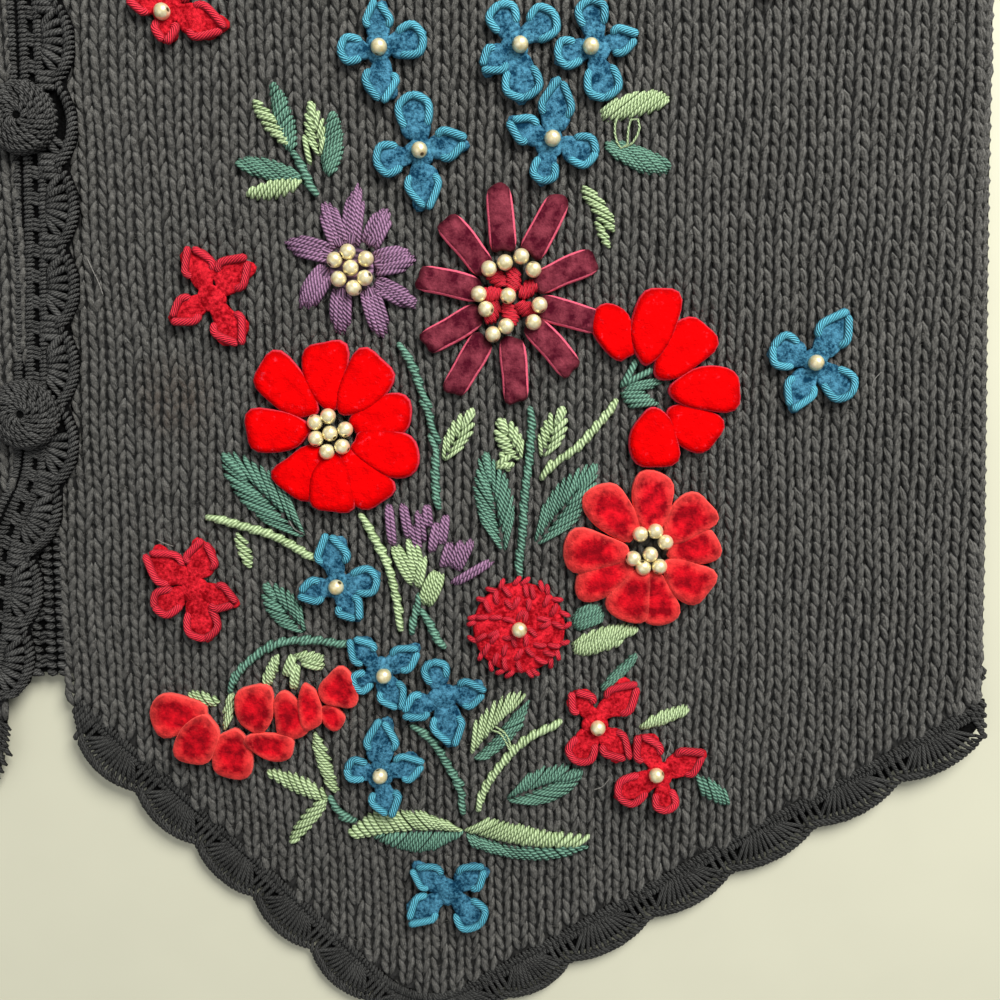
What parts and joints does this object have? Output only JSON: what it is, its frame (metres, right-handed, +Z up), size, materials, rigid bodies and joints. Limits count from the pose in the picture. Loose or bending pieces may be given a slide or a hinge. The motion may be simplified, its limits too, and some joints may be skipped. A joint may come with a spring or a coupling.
{
  "type": "sweater vest",
  "caption": "Knitted sweater vest laid flat and buttoned, with crocheted bands, scalloped pointed hems and flower applique on one front.",
  "frame": {"origin": "bottom centre of the flat vest's bounding box, on the surface that it lies on", "axes": "+X towards the wearer's left, +Y from the hem towards the neck, +Z up from the surface through the fronts"},
  "size_m": [0.479, 0.5992, 0.0116],
  "materials": {
    "knit": "matt charcoal stocking-stitch knit",
    "crochet": "black crocheted yarn",
    "blue": "felted petals outlined with cord",
    "red": "felted petals and thread",
    "poppy_red": "velvet ribbon",
    "burgundy": "velvet ribbon",
    "violet": "satin-stitched thread",
    "leaf_green": "twisted embroidery thread",
    "bead_gold": "polished gold-coloured beads"
  },
  "bodies": {
    "root": {"back_panel": "knit", "left_front": "knit", "right_front": "knit", "left_button_band": "crochet", "right_buttonhole_band": "crochet", "back_neck_band": "crochet", "left_front_hem_trim": "crochet", "right_front_hem_trim": "crochet", "back_hem_trim": "crochet", "button_1": "crochet", "button_2": "crochet", "button_3": "crochet", "button_4": "crochet", "blue_flower_1": "blue", "blue_flower_2": "blue", "blue_flower_3": "blue", "blue_flower_4": "blue", "blue_flower_5": "blue", "blue_flower_6": "blue", "blue_flower_7": "blue", "blue_flower_8": "blue", "blue_flower_9": "blue", "blue_flower_10": "blue", "blue_flower_11": "blue", "red_flower_1": "red", "red_flower_2": "red", "red_flower_3": "red", "red_flower_4": "red", "red_flower_5": "red", "red_flower_6": "red", "poppy_1": "poppy_red", "poppy_2": "poppy_red", "side_poppy_1": "poppy_red", "side_poppy_2": "poppy_red", "side_poppy_3": "poppy_red", "ribbon_flower": "burgundy", "daisy": "violet", "rosette": "red"}
  },
  "joints": []
}
